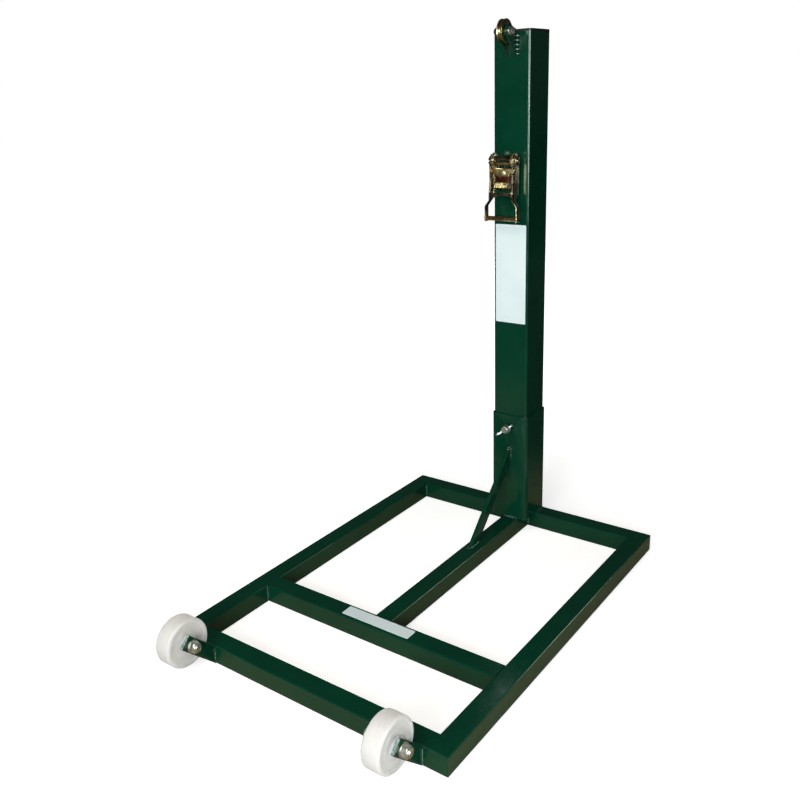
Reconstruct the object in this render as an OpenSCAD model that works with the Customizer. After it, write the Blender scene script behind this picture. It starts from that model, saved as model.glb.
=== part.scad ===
// Freestanding tennis net post on a wheeled tubular base.
// Millimetres, +Z up, +Y towards the net, +X to the right seen from the wheel end.
// The origin is on the floor, straight below the middle of the post.

/* [Base frame] */
// overall width of the base
base_w = 600; // [540:5:700]
// overall length of the base without its wheels
base_l = 800; // [700:5:950]
// outer side of the square base tube
rail = 38; // [35:1:42]
// wall of the base tube
rail_t = 2; // [1.5:0.25:3]
// outer corner radius of the base tube
rail_r = 3; // [2:0.5:4]
// middle of the mid crossbar behind the front of the base
mid_pos = 218; // [170:1:280]
// how far the spine's middle stands to the right of the post's
spine_off = 4; // [0:0.5:8]

/* [Post and sleeve] */
// outer side of the square post
post = 80; // [76:1:84]
// wall of the post
post_t = 3; // [2:0.5:4]
// outer corner radius of the post
post_r = 5; // [3:0.5:6]
// height of the steel post's top above the floor
post_top = 1058; // [1040:1:1090]
// gap between post and sleeve on each side
sleeve_gap = 0.5; // [0.3:0.1:1]
// wall of the sleeve
sleeve_t = 3; // [2.5:0.5:4]
// height of the sleeve's top above the floor
sleeve_top = 285; // [270:1:320]
// thickness of the cap's plate
cap_t = 4; // [2.5:0.5:6]
// depth of the cap's plug in the post
plug_l = 20; // [12:1:30]

/* [Brace strut] */
// height of the strut's top on the sleeve
strut_top = 210; // [180:1:225]
// depth of the strut bar, seen from the side
strut_d = 25; // [20:1:32]
// thickness of the strut bar
strut_t = 8; // [6:1:12]

/* [Wing screw] */
// distance of the screw below the sleeve's top
clamp_drop = 28; // [24:1:36]
// diameter of the screw's thread
clamp_d = 10; // [8:1:12]
// span of the wings
wing_span = 50; // [44:1:58]
// turn of the wings above the horizontal at rest
wing_turn = 38; // [0:1:80]

/* [Wheels] */
// diameter of a wheel
wheel_d = 90; // [80:1:96]
// width of a wheel's tread
wheel_w = 34; // [28:1:38]
// middle of each wheel inside the outer side of the base
wheel_in = 74; // [72:1:110]
// clear gap between the two plates of a wheel
fork_gap = 44; // [42:0.5:48]
// width of the flat bar of a wheel's plates
plate_w = 27; // [25:0.5:29]
// thickness of a wheel's plates
plate_t = 6; // [5:0.5:8]
// length of a wheel's plates along their lower edge
plate_l = 98; // [95:1:110]
// axle's distance along the plates
axle_s = 78.5; // [76:0.5:82]
// diameter of the axle bolts
axle_d = 12; // [10:1:12]

/* [Pulley] */
// diameter of the sheave
pulley_d = 44; // [38:1:46]
// width of the sheave
pulley_w = 11; // [10:0.5:13]
// depth of the sheave's groove
groove_h = 5; // [4:0.5:6]
// sheave's axis in front of the post
pulley_out = 28; // [26:0.5:32]
// sheave's axis above the floor, relative to the post's top
pulley_rise = 0; // [-6:1:4]
// thickness of an ear
ear_t = 5; // [4:0.5:6]
// diameter of the sheave's bolt
pulley_bolt_d = 8; // [6:1:8]

/* [Ratchet] */
// middle of the ratchet to the right of the post's middle
ratchet_x = -3; // [-8:0.5:8]
// height of the spool's axis above the floor
spool_z = 824; // [790:1:860]
// spool's axis in front of the post
spool_out = 23; // [20:0.5:27]
// clear width between the ratchet frame's plates
strap_w = 37; // [32:1:38]
// diameter of the spool
spool_d = 20; // [16:1:21]
// slot between the two halves of the spool
spool_slot = 3; // [2:0.5:4]
// number of teeth of a ratchet wheel
teeth = 12; // [10:1:14]
// length of the handle from the spool's axis to the grip bar
handle_l = 111; // [102:1:120]
// length of the ratchet frame from the spool's axis to its bolt
frame_l = 62.6; // [62:0.2:66]
// half the width of the handle's flared end
flare = 36; // [33:1:40]
// diameter of the grip bar
grip_d = 9; // [7:1:11]

/* [Labels] */
// width of the post's label
label_w = 70; // [50:1:72]
// height of the post's label
label_h = 205; // [120:1:220]
// height of the label's lower edge above the floor
label_z = 492; // [440:1:500]
// length of the small label on the mid crossbar
small_l = 152; // [80:1:170]
// width of the small label
small_w = 27; // [18:1:28]
// thickness of the labels
label_t = 0.4; // [0.3:0.1:0.6]

/* [Hidden] */
$fn = 64;
eps = 0.01;
sleeve = post + 2 * sleeve_gap + 2 * sleeve_t;
sleeve_in = post + 2 * sleeve_gap;
rear_y = sleeve / 2;
front_y = rear_y - base_l;
half_w = base_w / 2;
wheel_x = half_w - wheel_in;
cross_front = rear_y - rail;
mid_c = front_y + mid_pos;
mid_rear = mid_c + rail / 2;
face_y = -post / 2;
sleeve_y = -sleeve / 2;
clamp_z = sleeve_top - clamp_drop;
post_foot = rail + 0.3;
foot_y = sleeve_y - (strut_top - rail);
diag = sqrt(0.5);
axle_y = front_y - diag * axle_s + diag * plate_w / 2;
axle_z = diag * axle_s + diag * plate_w / 2;
hub_w = fork_gap - 2;
spacer_r = axle_d / 2 + 2.4;
nut_af = axle_d * 1.5 + 1;
run_gap = 0.05;
pulley_y = face_y - pulley_out;
pulley_z = post_top + pulley_rise;
ear_in = pulley_w / 2 + 1;
bush_r = pulley_bolt_d / 2 + 2;
bolt_af = pulley_bolt_d * 1.5 + 1;
spool_y = face_y - spool_out;
frame_in = strap_w / 2;
frame_t = 2;
frame_out = frame_in + frame_t;
gear_in = frame_out + 0.4;
gear_t = 3;
gear_out = gear_in + gear_t;
gear_r = 16;
gear_root = 13.4;
handle_in = gear_out + 0.7;
handle_t = 2;
handle_out = handle_in + handle_t;
spool_end = handle_out + 4;
tail_z = spool_z - frame_l;
tail_r = 6.5;
tail_bolt_r = 4;
drive_out = 5.5;
drive_t = 3;
lock_out = -9;
lock_t = 2.5;
handle_front = 15.5;
handle_back = -12.5;
ledge_z = spool_z - 53;
pawl_low = spool_z - 41;
lock_low = spool_z - 40;
shelf_z = spool_z - 54;
strip_z = spool_z - 65.5;
arm_z = spool_z - 75;
bend_z = spool_z - 87;
grip_z = spool_z - handle_l;
grip_out = 11;
bead = 4;

green = [0.02, 0.2, 0.13];
zinc = [0.72, 0.72, 0.7];
gold = [0.72, 0.6, 0.3];

// a rounded rectangle about the origin
module round_rect(w, d, r) {
    square([w - 2 * r, d], center = true);
    square([w, d - 2 * r], center = true);
    for (sx = [-1, 1], sy = [-1, 1])
        translate([sx * (w / 2 - r), sy * (d / 2 - r)]) circle(r);
}

// the section of a square tube
module tube_section(w, r, t) {
    difference() {
        round_rect(w, w, r);
        round_rect(w - 2 * t, w - 2 * t, max(r - t, 0.5));
    }
}

module tube_x(x0, x1, y, w = rail) {
    translate([x0, y, w / 2]) rotate([90, 0, 90])
        linear_extrude(x1 - x0) tube_section(w, rail_r, rail_t);
}

module tube_y(x, y0, y1, w = rail) {
    translate([x, y1, w / 2]) rotate([90, 0, 0])
        linear_extrude(y1 - y0) tube_section(w, rail_r, rail_t);
}

// a shape drawn as distance in front of the post against height, laid across X
module side_shape(x0, x1) {
    translate([x0, face_y, 0]) rotate([90, 0, 90]) linear_extrude(x1 - x0)
        mirror([1, 0]) children();
}

// a hexagon prism along +X
module hex_x(af, h) {
    rotate([0, 90, 0]) cylinder(r = af / sqrt(3), h = h, $fn = 6);
}

module rod_x(r, h) {
    rotate([0, 90, 0]) cylinder(r = r, h = h);
}

// a fillet weld: a triangular prism along +Z with its legs along +X and +Y
module fillet(h, s = bead) {
    linear_extrude(h) polygon([[0, 0], [s, 0], [0, s]]);
}

function tangent(p, c, r, s) =
    let (d = c - p, l = norm(d), a = atan2(d.y, d.x), b = asin(r / l), t = sqrt(l * l - r * r))
    p + t * [cos(a + s * b), sin(a + s * b)];

// Base frame

module side_rail(s) {
    color(green) intersection() {
        tube_y(s * (half_w - rail / 2), front_y, rear_y);
        linear_extrude(rail) polygon([[s * half_w, front_y], [s * (half_w - rail), front_y + rail],
            [s * (half_w - rail), rear_y - rail], [s * half_w, rear_y]]);
    }
}

module side_rail_left() {
    side_rail(-1);
}

module side_rail_right() {
    side_rail(1);
}

module rear_crossbar() {
    color(green) intersection() {
        tube_x(-half_w, half_w, rear_y - rail / 2);
        linear_extrude(rail) polygon([[-half_w, rear_y], [half_w, rear_y],
            [half_w - rail, rear_y - rail], [rail - half_w, rear_y - rail]]);
    }
}

module front_crossbar() {
    color(green) intersection() {
        tube_x(-half_w, half_w, front_y + rail / 2);
        linear_extrude(rail) polygon([[-half_w, front_y], [half_w, front_y],
            [half_w - rail, front_y + rail], [rail - half_w, front_y + rail]]);
    }
}

module mid_crossbar() {
    color(green) tube_x(rail - half_w, half_w - rail, mid_c);
}

module centre_spine() {
    color(green) tube_y(spine_off, mid_rear, cross_front);
}

module post_sleeve() {
    color(green) difference() {
        translate([0, 0, rail]) linear_extrude(sleeve_top - rail) difference() {
            round_rect(sleeve, sleeve, post_r + sleeve_gap + sleeve_t);
            round_rect(sleeve_in, sleeve_in, post_r + sleeve_gap);
        }
        translate([0, sleeve_y - 1, clamp_z]) rotate([-90, 0, 0])
            cylinder(r = clamp_d / 2 + 0.5, h = sleeve_t + 2);
    }
}

module brace_strut() {
    wide = strut_d / diag;
    color(green) translate([-strut_t / 2, 0, 0]) rotate([90, 0, 90]) linear_extrude(strut_t)
        polygon([[foot_y, rail], [foot_y + wide, rail], [sleeve_y, strut_top - wide],
            [sleeve_y, strut_top]]);
}

module base_weld_beads() {
    inner = half_w - rail;
    tall = rail - 2 * rail_r;
    color(green) {
        // inner corners of the outer frame
        for (s = [-1, 1]) {
            translate([s * inner, rear_y - rail, rail_r]) rotate([0, 0, s > 0 ? 180 : 270])
                fillet(tall, 6);
            translate([s * inner, front_y + rail, rail_r]) rotate([0, 0, s > 0 ? 90 : 0])
                fillet(tall, 6);
            // both ends of the mid crossbar
            translate([s * inner, mid_rear, rail_r]) rotate([0, 0, s > 0 ? 90 : 0])
                fillet(tall);
            translate([s * inner, mid_rear - rail, rail_r]) rotate([0, 0, s > 0 ? 180 : 270])
                fillet(tall);
            // both ends of the spine
            translate([spine_off + s * rail / 2, mid_rear, rail_r])
                rotate([0, 0, s > 0 ? 0 : 90]) fillet(tall);
            translate([spine_off + s * rail / 2, cross_front, rail_r])
                rotate([0, 0, s > 0 ? 270 : 180]) fillet(tall);
            // the sleeve's sides on the rear crossbar
            translate([s * sleeve / 2, cross_front + rail_r, rail])
                rotate([-90, 0, s > 0 ? 0 : 180]) mirror([0, 1, 0]) translate([0, 0, s > 0 ? 0 :
                2 * rail_r - rail]) fillet(rail - 2 * rail_r);
        }
        // the sleeve's front on the spine
        translate([spine_off - rail / 2 + rail_r, sleeve_y, rail]) rotate([90, 0, 90])
            mirror([1, 0, 0]) fillet(rail - 2 * rail_r);
        // the strut's ends
        translate([-strut_t / 2, 0, 0]) rotate([90, 0, 90]) linear_extrude(strut_t) {
            polygon([[sleeve_y, strut_top], [sleeve_y, strut_top + 6],
                [sleeve_y - 4, strut_top - 4]]);
            polygon([[foot_y, rail], [foot_y - 6, rail], [foot_y + 4, rail + 4]]);
        }
        // the wheels' plates on the front crossbar
        for (c = [-1, 1], s = [-1, 1])
            translate([c * wheel_x + s * (fork_gap / 2 + plate_t), front_y, rail_r])
                rotate([0, 0, s > 0 ? 270 : 180]) fillet(tall, 3);
    }
}

// Wheels

module bracket_plate(x) {
    color(green) translate([x, 0, 0]) rotate([90, 0, 90]) linear_extrude(plate_t) difference() {
        polygon([[front_y, 0], [front_y - diag * plate_l, diag * plate_l],
            [front_y - diag * (plate_l - plate_w), diag * (plate_l + plate_w)],
            [front_y, plate_w / diag]]);
        translate([axle_y, axle_z]) circle(axle_d / 2 + 0.2);
    }
}

module wheel_brackets(c) {
    bracket_plate(c - fork_gap / 2 - plate_t);
    bracket_plate(c + fork_gap / 2);
}

module wheel_brackets_left() {
    wheel_brackets(-wheel_x);
}

module wheel_brackets_right() {
    wheel_brackets(wheel_x);
}

module wheel(c) {
    r = wheel_d / 2;
    w = wheel_w / 2;
    edge = 2.5;
    color([0.93, 0.92, 0.88]) translate([c, axle_y, axle_z]) rotate([0, 90, 0])
        rotate_extrude() difference() {
            union() {
                translate([spacer_r + run_gap, -w]) square([r - edge - spacer_r - run_gap, 2 * w]);
                translate([r - edge - 1, edge - w]) square([edge + 1, 2 * (w - edge)]);
                for (s = [-1, 1]) translate([r - edge, s * (w - edge)]) circle(edge);
                translate([spacer_r + run_gap, -hub_w / 2]) square([7, hub_w]);
            }
            for (s = [-1, 1]) translate([spacer_r + 9, s * w - 2.5])
                square([r - spacer_r - 16, 5]);
        }
}

module wheel_left() {
    wheel(-wheel_x);
}

module wheel_right() {
    wheel(wheel_x);
}

module axle_bolts() {
    side = fork_gap / 2 + plate_t;
    color(zinc) for (c = [-wheel_x, wheel_x]) translate([c, axle_y, axle_z]) {
        translate([-side - 2.5 - 7.5, 0, 0]) hex_x(nut_af, 7.5);
        translate([-side - 2.6, 0, 0]) rod_x(axle_d / 2, 2 * side + 17.5);
    }
}

module axle_washers() {
    side = fork_gap / 2 + plate_t;
    color(zinc) for (c = [-wheel_x, wheel_x], s = [-1, 1])
        translate([c + s * (side + 1.25), axle_y, axle_z]) rotate([0, 90, 0]) difference() {
            cylinder(r = axle_d, h = 2.5, center = true);
            cylinder(r = axle_d / 2 + 0.3, h = 3, center = true);
        }
}

module axle_nuts() {
    side = fork_gap / 2 + plate_t;
    color(zinc) for (c = [-wheel_x, wheel_x])
        translate([c + side + 2.5, axle_y, axle_z]) difference() {
            union() {
                hex_x(nut_af, 9);
                rod_x(nut_af / 2 - 1, 11.5);
            }
            translate([-1, 0, 0]) rod_x(axle_d / 2 + run_gap, 14);
        }
}

module axle_spacers() {
    color(zinc) for (c = [-wheel_x, wheel_x])
        translate([c - fork_gap / 2, axle_y, axle_z]) difference() {
            rod_x(spacer_r, fork_gap);
            translate([-1, 0, 0]) rod_x(axle_d / 2 + 0.2, fork_gap + 2);
        }
}

// Wing screw

module clamp_nut() {
    color(green) translate([0, sleeve_y, clamp_z]) rotate([90, 0, 0]) difference() {
        cylinder(r = (clamp_d * 1.5 + 2) / sqrt(3), h = 8, $fn = 6);
        translate([0, 0, -1]) cylinder(r = clamp_d / 2 + run_gap, h = 10);
    }
}

module clamp_screw() {
    tip = sleeve_gap + sleeve_t - 0.3;
    color(zinc) translate([0, sleeve_y + tip, clamp_z]) rotate([90, 0, 0])
        cylinder(r = clamp_d / 2, h = tip + 18);
}

module clamp_wing() {
    wing_r = 7;
    reach = wing_span / 2 - wing_r;
    color(zinc) translate([0, sleeve_y - 9.5, clamp_z]) rotate([90, -wing_turn, 0]) {
        difference() {
            union() {
                cylinder(r1 = 9.5, r2 = 8, h = 13);
                for (s = [0, 180]) rotate([0, 0, s]) translate([0, 2, 0]) rotate([90, 0, 0])
                    linear_extrude(4) {
                        translate([reach, 13]) circle(wing_r);
                        polygon([[4, 1], [8, 1], [reach + 2, 13 - wing_r + 0.3], [reach, 13 + wing_r],
                            [6, 11]]);
                    }
            }
            translate([0, 0, -1]) cylinder(r = clamp_d / 2 + run_gap, h = 9.6);
        }
    }
}

// Post

module post_tube() {
    color(green) translate([0, 0, post_foot]) linear_extrude(post_top - post_foot)
        tube_section(post, post_r, post_t);
}

module post_cap() {
    plug = post - 2 * post_t - 0.4;
    color([0.03, 0.03, 0.03]) {
        translate([0, 0, post_top]) linear_extrude(cap_t) round_rect(post, post, post_r);
        translate([0, 0, post_top - plug_l]) linear_extrude(plug_l + eps) difference() {
            round_rect(plug, plug, 3);
            round_rect(plug - 4, plug - 4, 2);
        }
    }
}

module post_label() {
    color([0.93, 0.94, 0.95]) translate([-label_w / 2, face_y - label_t, label_z])
        cube([label_w, label_t, label_h]);
}

module base_label() {
    color([0.93, 0.94, 0.95]) translate([spine_off - small_l / 2, mid_c - small_w / 2, rail])
        cube([small_l, small_w, label_t]);
}

module post_weld_beads() {
    ear = ear_in + ear_t;
    color(green) {
        // outer sides of the pulley's ears
        for (s = [-1, 1]) translate([s * ear, face_y, post_top - 44])
            rotate([0, 0, s > 0 ? 270 : 180]) fillet(38, 5);
        // below and above the ratchet's lug
        for (s = [-1, 1]) translate([ratchet_x - frame_in + 1.5, face_y, tail_z + s * tail_r])
            rotate([90, 0, 90]) mirror([1, 0, 0]) mirror([0, s > 0 ? 0 : 1, 0])
            fillet(strap_w - 3, 3);
    }
}

// Pulley

module pulley_ear_shape() {
    axis = [pulley_out, pulley_z];
    low = [0, post_top - 46];
    high = [0, post_top + 3];
    r = 12;
    difference() {
        union() {
            polygon([low, tangent(low, axis, r, -1), axis, tangent(high, axis, r, 1), high]);
            translate(axis) circle(r);
        }
        translate(axis) circle(pulley_bolt_d / 2 + 0.2);
    }
}

module pulley_ears() {
    color(green) {
        side_shape(ear_in, ear_in + ear_t) pulley_ear_shape();
        side_shape(-ear_in - ear_t, -ear_in) pulley_ear_shape();
    }
}

module pulley_wheel() {
    r = pulley_d / 2;
    w = pulley_w / 2;
    color(gold) translate([0, pulley_y, pulley_z]) rotate([0, 90, 0]) rotate_extrude()
        difference() {
            translate([bush_r, -w]) square([r - bush_r, 2 * w]);
            translate([r - groove_h + w - 2.5, 0]) circle(w - 2.5);
            translate([r - groove_h + w - 2.5, 2.5 - w]) square([groove_h, 2 * w - 5]);
            for (s = [-1, 1]) translate([bush_r + 3, s * w - 1]) square([r - bush_r - 6, 2]);
        }
}

module pulley_bush() {
    color([0.6, 0.42, 0.2]) translate([-pulley_w / 2, pulley_y, pulley_z]) difference() {
        rod_x(bush_r, pulley_w);
        translate([-1, 0, 0]) rod_x(pulley_bolt_d / 2 + run_gap, pulley_w + 2);
    }
}

module pulley_bolt() {
    side = ear_in + ear_t;
    color(zinc) translate([0, pulley_y, pulley_z]) {
        translate([side + 1.6, 0, 0]) hex_x(bolt_af, 5.5);
        translate([-side - 10, 0, 0]) rod_x(pulley_bolt_d / 2, 2 * side + 12);
    }
}

module pulley_washers() {
    side = ear_in + ear_t;
    color(zinc) for (s = [-1, 1]) translate([s * (side + 0.8), pulley_y, pulley_z])
        rotate([0, 90, 0]) difference() {
            cylinder(r = pulley_bolt_d, h = 1.6, center = true);
            cylinder(r = pulley_bolt_d / 2 + 0.2, h = 2, center = true);
        }
}

module pulley_nut() {
    side = ear_in + ear_t;
    color(zinc) translate([-side - 1.6 - 7.5, pulley_y, pulley_z]) difference() {
        union() {
            rod_x(bolt_af / 2 - 0.8, 3);
            translate([1.5, 0, 0]) hex_x(bolt_af, 6);
        }
        translate([-1, 0, 0]) rod_x(pulley_bolt_d / 2 + run_gap, 10);
    }
}

// Ratchet

module ratchet_lug() {
    half = frame_in - 0.1;
    color(green) translate([ratchet_x, 0, 0]) side_shape(-half, half) difference() {
        union() {
            translate([0, tail_z - tail_r]) square([spool_out, 2 * tail_r]);
            translate([spool_out, tail_z]) circle(tail_r);
        }
        translate([spool_out, tail_z]) circle(tail_bolt_r + 0.2);
    }
}

module ratchet_bolt() {
    color(zinc) translate([ratchet_x, spool_y, tail_z]) {
        translate([-frame_out - 3, 0, 0]) rod_x(6.2, 3);
        translate([-frame_out - 0.1, 0, 0]) rod_x(tail_bolt_r, 2 * frame_out + 3.4);
    }
}

module ratchet_nut() {
    color(zinc) translate([ratchet_x + frame_out, spool_y, tail_z]) difference() {
        hex_x(12, 3);
        translate([-1, 0, 0]) rod_x(tail_bolt_r + run_gap, 6);
    }
}

module frame_side_shape() {
    difference() {
        union() {
            translate([spool_out, spool_z]) circle(13);
            translate([spool_out, tail_z]) circle(9.5);
            polygon([[spool_out - 13, spool_z], [spool_out - 13, spool_z - 54],
                [spool_out - 9.5, tail_z], [spool_out + 6, tail_z - 7.3],
                [spool_out + 5, spool_z - 50], [spool_out + 5, spool_z - 12],
                [spool_out + 13, spool_z]]);
        }
        translate([spool_out, tail_z]) circle(tail_bolt_r + 0.2);
        translate([spool_out, spool_z]) circle(spool_d / 2 + run_gap);
        translate([spool_out + lock_out - 0.3, lock_low - 6]) square([lock_t + 0.6, 33]);
    }
}

module ratchet_frame() {
    back_y = spool_y + 13 - 2;
    color(gold) translate([ratchet_x, 0, 0]) {
        side_shape(frame_in, frame_out) frame_side_shape();
        side_shape(-frame_out, -frame_in) frame_side_shape();
        // the web joining the two plates, and its folded ledge
        translate([-frame_in - 1, back_y, shelf_z]) cube([strap_w + 2, 2, 32]);
        translate([-frame_in - 1, back_y - 8, shelf_z]) cube([strap_w + 2, 10, 2]);
    }
}

module spool_halves() {
    r = spool_d / 2;
    color(gold) for (s = [0, 180]) translate([ratchet_x - spool_end, spool_y, spool_z])
        rotate([s, 0, 0]) difference() {
            rod_x(r, 2 * spool_end);
            translate([-1, spool_slot / 2 - 2 * r, -r - 1]) cube([2 * spool_end + 2, 2 * r, 2 * r + 2]);
            for (e = [-1, 1]) translate([spool_end + e * (spool_end - 2), 0, 0])
                rotate([-90, 0, 0]) cylinder(r = 1.3, h = 2 * r);
        }
}

module ratchet_wheels() {
    step = 360 / teeth;
    color(gold) for (x = [-gear_out, gear_in]) translate([ratchet_x + x, spool_y, spool_z])
        rotate([90, 0, 90]) linear_extrude(gear_t) difference() {
            polygon([for (i = [0:teeth - 1], k = [0:2])
                let (a = i * step + [0, step * 0.28, step * 0.97][k],
                    r = [gear_r - 1.2, gear_r, gear_root][k])
                r * [cos(a), sin(a)]]);
            circle(spool_d / 2 + 0.02);
        }
}

module spool_pins() {
    color(zinc) for (e = [-1, 1]) translate([ratchet_x + e * (spool_end - 2), spool_y, spool_z])
        rotate([-90, 0, 0]) cylinder(r = 1.25, h = spool_d + 5, center = true);
}

module handle_side_shape() {
    difference() {
        union() {
            translate([spool_out, spool_z]) circle(12.5);
            polygon([[spool_out - 12.5, spool_z], [spool_out + handle_back, ledge_z - 12],
                [spool_out + 2, arm_z], [spool_out + handle_front, arm_z],
                [spool_out + handle_front, ledge_z - 12], [spool_out + 12, spool_z - 34],
                [spool_out + 12, spool_z]]);
        }
        translate([spool_out, spool_z]) circle(spool_d / 2 + run_gap);
        translate([spool_out + drive_out - 0.3, pawl_low - 6]) square([drive_t + 0.6, 33]);
    }
}

module ratchet_handle() {
    arm_y = spool_y - handle_front;
    color(gold) translate([ratchet_x, 0, 0]) {
        side_shape(handle_in, handle_out) handle_side_shape();
        side_shape(-handle_out, -handle_in) handle_side_shape();
        // the ledge the springs press on
        translate([-handle_in - 1, spool_y - 14, ledge_z]) cube([2 * handle_in + 2, 8, 2]);
        // the stiffening strip across the front
        translate([-handle_in - 1, arm_y, strip_z]) cube([2 * handle_in + 2, 2, 5]);
        // the flared arms
        for (s = [-1, 1]) translate([0, arm_y + 13, 0]) rotate([90, 0, 0]) linear_extrude(13)
            polygon([[s * handle_in, arm_z + 6], [s * handle_in, arm_z],
                [s * (flare - 2), bend_z], [s * (flare - 2), grip_z - 6.5],
                [s * flare, grip_z - 6.5], [s * flare, bend_z], [s * handle_out, arm_z],
                [s * handle_out, arm_z + 6]]);
    }
}

module grip_bar() {
    color(gold) translate([ratchet_x - flare + 2.02, spool_y - grip_out, grip_z])
        rod_x(grip_d / 2, 2 * flare - 4.04);
}

module drive_pawl() {
    out_y = spool_y - drive_out;
    color([0.5, 0.36, 0.2]) translate([ratchet_x, 0, pawl_low]) {
        translate([-handle_out, out_y - drive_t, 0]) cube([2 * handle_out, drive_t, 25.4]);
        translate([-handle_in + 0.5, out_y - drive_t - 5, 0])
            cube([2 * handle_in - 1, 5.01, 2]);
    }
}

module spring_tube(r, h) {
    difference() {
        cylinder(r = r, h = h);
        translate([0, 0, -1]) cylinder(r = r - 0.8, h = h + 2);
    }
}

module drive_springs() {
    color(zinc) for (s = [-1, 1])
        translate([ratchet_x + s * 9, spool_y - drive_out - drive_t / 2, ledge_z + 2])
            spring_tube(3, pawl_low - ledge_z - 2);
}

module lock_pawl() {
    out_y = spool_y - lock_out;
    color(gold) translate([ratchet_x - gear_out, out_y - lock_t, lock_low])
        cube([2 * gear_out, lock_t, 24.8]);
}

module lock_spring() {
    color(zinc) translate([ratchet_x, spool_y - lock_out - lock_t / 2, shelf_z + 2])
        spring_tube(2.6, lock_low - shelf_z - 2);
}

side_rail_left();
side_rail_right();
rear_crossbar();
front_crossbar();
mid_crossbar();
centre_spine();
post_sleeve();
brace_strut();
base_weld_beads();
wheel_brackets_left();
wheel_brackets_right();
wheel_left();
wheel_right();
axle_bolts();
axle_washers();
axle_nuts();
axle_spacers();
clamp_nut();
clamp_screw();
clamp_wing();
base_label();
post_tube();
post_cap();
post_label();
post_weld_beads();
pulley_ears();
pulley_wheel();
pulley_bush();
pulley_bolt();
pulley_washers();
pulley_nut();
ratchet_lug();
ratchet_bolt();
ratchet_nut();
ratchet_frame();
spool_halves();
ratchet_wheels();
spool_pins();
ratchet_handle();
grip_bar();
drive_pawl();
drive_springs();
lock_pawl();
lock_spring();
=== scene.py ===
import math

import bmesh
import bpy
from mathutils import Matrix, Vector


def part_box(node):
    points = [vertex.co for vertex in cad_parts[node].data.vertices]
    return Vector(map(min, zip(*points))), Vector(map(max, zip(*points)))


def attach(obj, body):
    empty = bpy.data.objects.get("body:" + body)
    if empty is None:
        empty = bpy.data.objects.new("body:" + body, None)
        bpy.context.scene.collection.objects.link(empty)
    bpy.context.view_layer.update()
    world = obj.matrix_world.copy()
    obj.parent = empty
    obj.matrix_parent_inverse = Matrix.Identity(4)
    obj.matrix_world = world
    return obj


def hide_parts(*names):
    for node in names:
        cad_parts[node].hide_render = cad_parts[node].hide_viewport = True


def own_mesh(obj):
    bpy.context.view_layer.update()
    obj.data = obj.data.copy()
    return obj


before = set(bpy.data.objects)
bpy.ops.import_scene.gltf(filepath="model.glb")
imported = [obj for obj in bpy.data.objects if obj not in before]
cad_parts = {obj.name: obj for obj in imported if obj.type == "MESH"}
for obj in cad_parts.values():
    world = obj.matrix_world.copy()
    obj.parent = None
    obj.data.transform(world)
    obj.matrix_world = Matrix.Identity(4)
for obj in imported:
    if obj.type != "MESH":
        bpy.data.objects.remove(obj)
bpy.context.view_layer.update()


# Studio: the camera stands to the right of the wheel end, near the height of the post's top, and a
# soft key light stands behind it. Four fills light the back, the wheels and the tops. Two cards give
# only reflections, which also show the floor tan near the object and dark beyond it.

camera_place = (0.8668, -1.5903, 0.9504)
camera_heading, camera_tilt, camera_roll = 0.645, 1.2315, -0.0404
camera_data = bpy.data.cameras.new("camera")
camera_data.sensor_width = 36
camera_data.lens = 38.65
camera = bpy.data.objects.new("camera", camera_data)
bpy.context.scene.collection.objects.link(camera)
camera.matrix_world = (Matrix.Translation(camera_place) @ Matrix.Rotation(camera_heading, 4, "Z")
                       @ Matrix.Rotation(camera_tilt, 4, "X") @ Matrix.Rotation(camera_roll, 4, "Z"))
bpy.context.scene.camera = camera
bpy.context.scene.view_settings.view_transform = "Standard"


def soft_light(name, place, aim, size, watts, colour=(1, 1, 1)):
    """A rectangular lamp at a place, turned towards a point; both are in metres."""
    data = bpy.data.lights.new(name, "AREA")
    data.shape = "RECTANGLE"
    data.size, data.size_y = size
    data.energy = watts
    data.color = colour
    light = bpy.data.objects.new(name, data)
    bpy.context.scene.collection.objects.link(light)
    light.location = place
    light.rotation_euler = (Vector(aim) - Vector(place)).to_track_quat("-Z", "Y").to_euler()
    return light


soft_light("key_light", (0.86, -3.42, 1.3), (0, -0.3, 0.3), (1.3, 1.3), 78)
for fill in (soft_light("left_fill", (-3.0, 1.3, 0.55), (0, -0.2, 0.5), (1.4, 0.9), 60),
             soft_light("rear_fill", (0.3, 3.4, 0.45), (0, 0, 0.5), (1.4, 0.7), 45),
             soft_light("wheel_fill", (1.1, -1.0, 0.2), (0.1, -0.82, 0.08), (0.4, 0.25), 3.6),
             soft_light("top_fill", (0, -0.9, 1.3), (0, -0.75, 0), (0.8, 0.5), 5.4, (1, 0.92, 0.78))):
    fill.visible_glossy = False
    fill.visible_camera = False
post_card = soft_light("post_card", (2.2, -1.5, 1.0), (0, 0, 0.9), (0.8, 1.0), 62, (0.86, 1, 0.95))
rail_card = soft_light("rail_card", (1.72, 1.45, 0.89), (0.3, -0.4, 0.04), (0.5, 0.5), 0.3, (1, 1, 0.8))
rail_card.data.spread = math.radians(30)
for card in (post_card, rail_card):
    card.visible_diffuse = False


def feed(node, *values, **named):
    """Gives inputs values or other nodes' outputs, in order or by name, with _ for a space."""
    inputs = list(enumerate(values)) + [(name.replace("_", " "), value) for name, value in named.items()]
    for key, value in inputs:
        if isinstance(value, bpy.types.NodeSocket):
            node.id_data.links.new(value, node.inputs[key])
        else:
            node.inputs[key].default_value = value


def add_node(tree, kind, *values, operation=None, **named):
    """Adds a shader node of a kind, and feeds it."""
    node = tree.nodes.new("ShaderNode" + kind)
    if operation:
        node.operation = operation
    feed(node, *values, **named)
    return node


def spread(tree, value, low, high, bottom=0.3, top=0.7):
    """Maps a value's band from bottom to top onto the range from low to high."""
    return add_node(tree, "MapRange", value, bottom, top, low, high).outputs["Result"]


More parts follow.
